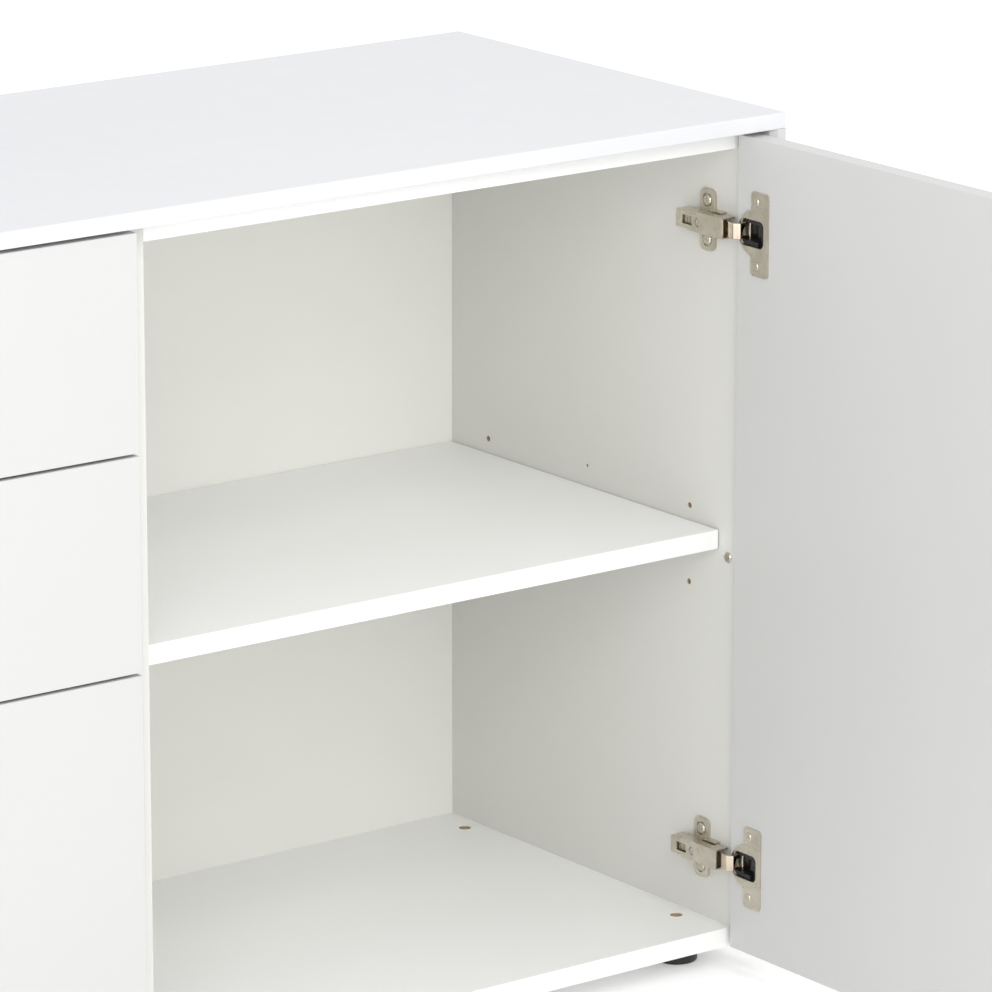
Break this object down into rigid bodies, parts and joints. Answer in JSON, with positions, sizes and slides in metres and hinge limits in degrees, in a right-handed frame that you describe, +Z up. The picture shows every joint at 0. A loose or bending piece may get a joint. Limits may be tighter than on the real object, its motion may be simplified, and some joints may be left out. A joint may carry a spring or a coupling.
{
  "type": "sideboard buffet",
  "caption": "Low white sideboard with drawers on one side and a shelved cupboard with a concealed-hinge door on the other, wrapped by a top plate and side cheeks.",
  "frame": {"origin": "floor level, at the joint between the two modules in X and the middle of the depth with the door open at a right angle", "axes": "+Z up, the front faces -Y, +X towards the door module"},
  "size_m": [1.226, 1.011, 0.716],
  "materials": {
    "white_top": "white melamine board, fine satin",
    "white_front": "white melamine board, satin",
    "white_carcass": "white melamine board, satin, slightly warm",
    "white_back": "white lacquered hardboard, matt",
    "drawer_board": "light grey-white foil on board",
    "nickel": "satin nickel plate",
    "bright_nickel": "bright nickel plate",
    "damper_plastic": "black moulded plastic",
    "runner_steel": "zinc-plated steel strip",
    "foot_plastic": "black moulded plastic",
    "grey_plastic": "light grey moulded plastic",
    "screw_steel": "nickel-plated steel"
  },
  "bodies": {
    "cabinet": {"top_plate": "white_top", "cheek_left": "white_front", "cheek_right": "white_front", "door_module_right_side": "white_carcass", "door_module_left_side": "white_carcass", "drawer_module_right_side": "white_carcass", "drawer_module_left_side": "white_carcass", "drawer_module_bottom": "white_carcass", "drawer_module_top": "white_carcass", "door_module_bottom": "white_carcass", "door_module_top": "white_carcass", "shelf": "white_carcass", "drawer_module_back": "white_back", "door_module_back": "white_back", "shelf_pins": "screw_steel", "cheek_screws": "screw_steel", "module_screws": "screw_steel", "foot_sockets": "foot_plastic", "cabinet_runners": "runner_steel", "push_housings": "grey_plastic", "hinge_plate_lower": "nickel", "hinge_arm_lower": "nickel", "hinge_plate_upper": "nickel", "hinge_arm_upper": "nickel", "hinge_adjusters": "screw_steel", "hinge_plate_screws": "screw_steel"},
    "door": {"door_panel": "white_front", "hinge_cup_lower": "nickel", "hinge_cup_upper": "nickel", "hinge_dampers": "damper_plastic", "hinge_cup_screws": "screw_steel"},
    "hinge_links": {"hinge_link_lower": "bright_nickel", "hinge_link_upper": "bright_nickel"},
    "drawer_top": {"drawer_top_front": "white_front", "drawer_top_sides": "drawer_board", "drawer_top_back": "drawer_board", "drawer_top_bottom": "drawer_board", "drawer_top_runners": "runner_steel"},
    "plunger_top": {"push_plunger_top": "grey_plastic"},
    "drawer_middle": {"drawer_middle_front": "white_front", "drawer_middle_sides": "drawer_board", "drawer_middle_back": "drawer_board", "drawer_middle_bottom": "drawer_board", "drawer_middle_runners": "runner_steel"},
    "plunger_middle": {"push_plunger_middle": "grey_plastic"},
    "drawer_bottom": {"drawer_bottom_front": "white_front", "drawer_bottom_sides": "drawer_board", "drawer_bottom_back": "drawer_board", "drawer_bottom_bottom": "drawer_board", "drawer_bottom_runners": "runner_steel"},
    "plunger_bottom": {"push_plunger_bottom": "grey_plastic"},
    "foot_drawer_inner_front": {"foot_drawer_inner_front": "foot_plastic"},
    "foot_drawer_inner_back": {"foot_drawer_inner_back": "foot_plastic"},
    "foot_drawer_outer_front": {"foot_drawer_outer_front": "foot_plastic"},
    "foot_drawer_outer_back": {"foot_drawer_outer_back": "foot_plastic"},
    "foot_door_inner_front": {"foot_door_inner_front": "foot_plastic"},
    "foot_door_inner_back": {"foot_door_inner_back": "foot_plastic"},
    "foot_door_outer_front": {"foot_door_outer_front": "foot_plastic"},
    "foot_door_outer_back": {"foot_door_outer_back": "foot_plastic"}
  },
  "joints": [
    {"name": "link_swing", "type": "hinge", "parent": "cabinet", "child": "hinge_links", "pos_m": [0.57694, 0.10165, 0], "axis": [0, 0, 1], "range_deg": [-2, 14]},
    {"name": "door_swing", "type": "hinge", "parent": "hinge_links", "child": "door", "pos_m": [0.5855, 0.0835, 0], "axis": [0, 0, 1], "range_deg": [-103.5, 13.8]},
    {"name": "drawer_top_slide", "type": "slide", "parent": "cabinet", "child": "drawer_top", "axis": [0, -1, 0], "range_m": [0, 0.28]},
    {"name": "drawer_middle_slide", "type": "slide", "parent": "cabinet", "child": "drawer_middle", "axis": [0, -1, 0], "range_m": [0, 0.28]},
    {"name": "drawer_bottom_slide", "type": "slide", "parent": "cabinet", "child": "drawer_bottom", "axis": [0, -1, 0], "range_m": [0, 0.28]},
    {"name": "plunger_top_press", "type": "slide", "parent": "cabinet", "child": "plunger_top", "axis": [0, 1, 0], "range_m": [0, 0.003], "stiffness_N_per_m": 300, "springref_m": -0.002},
    {"name": "plunger_middle_press", "type": "slide", "parent": "cabinet", "child": "plunger_middle", "axis": [0, 1, 0], "range_m": [0, 0.003], "stiffness_N_per_m": 300, "springref_m": -0.002},
    {"name": "plunger_bottom_press", "type": "slide", "parent": "cabinet", "child": "plunger_bottom", "axis": [0, 1, 0], "range_m": [0, 0.003], "stiffness_N_per_m": 300, "springref_m": -0.002},
    {"name": "foot_drawer_inner_front_height", "type": "slide", "parent": "cabinet", "child": "foot_drawer_inner_front", "axis": [0, 0, -1], "range_m": [0, 0.012]},
    {"name": "foot_drawer_inner_back_height", "type": "slide", "parent": "cabinet", "child": "foot_drawer_inner_back", "axis": [0, 0, -1], "range_m": [0, 0.012]},
    {"name": "foot_drawer_outer_front_height", "type": "slide", "parent": "cabinet", "child": "foot_drawer_outer_front", "axis": [0, 0, -1], "range_m": [0, 0.012]},
    {"name": "foot_drawer_outer_back_height", "type": "slide", "parent": "cabinet", "child": "foot_drawer_outer_back", "axis": [0, 0, -1], "range_m": [0, 0.012]},
    {"name": "foot_door_inner_front_height", "type": "slide", "parent": "cabinet", "child": "foot_door_inner_front", "axis": [0, 0, -1], "range_m": [0, 0.012]},
    {"name": "foot_door_inner_back_height", "type": "slide", "parent": "cabinet", "child": "foot_door_inner_back", "axis": [0, 0, -1], "range_m": [0, 0.012]},
    {"name": "foot_door_outer_front_height", "type": "slide", "parent": "cabinet", "child": "foot_door_outer_front", "axis": [0, 0, -1], "range_m": [0, 0.012]},
    {"name": "foot_door_outer_back_height", "type": "slide", "parent": "cabinet", "child": "foot_door_outer_back", "axis": [0, 0, -1], "range_m": [0, 0.012]}
  ],
  "couplings": [
    {"joint": "link_swing", "follows": "door_swing", "ratio": -0.13043}
  ]
}
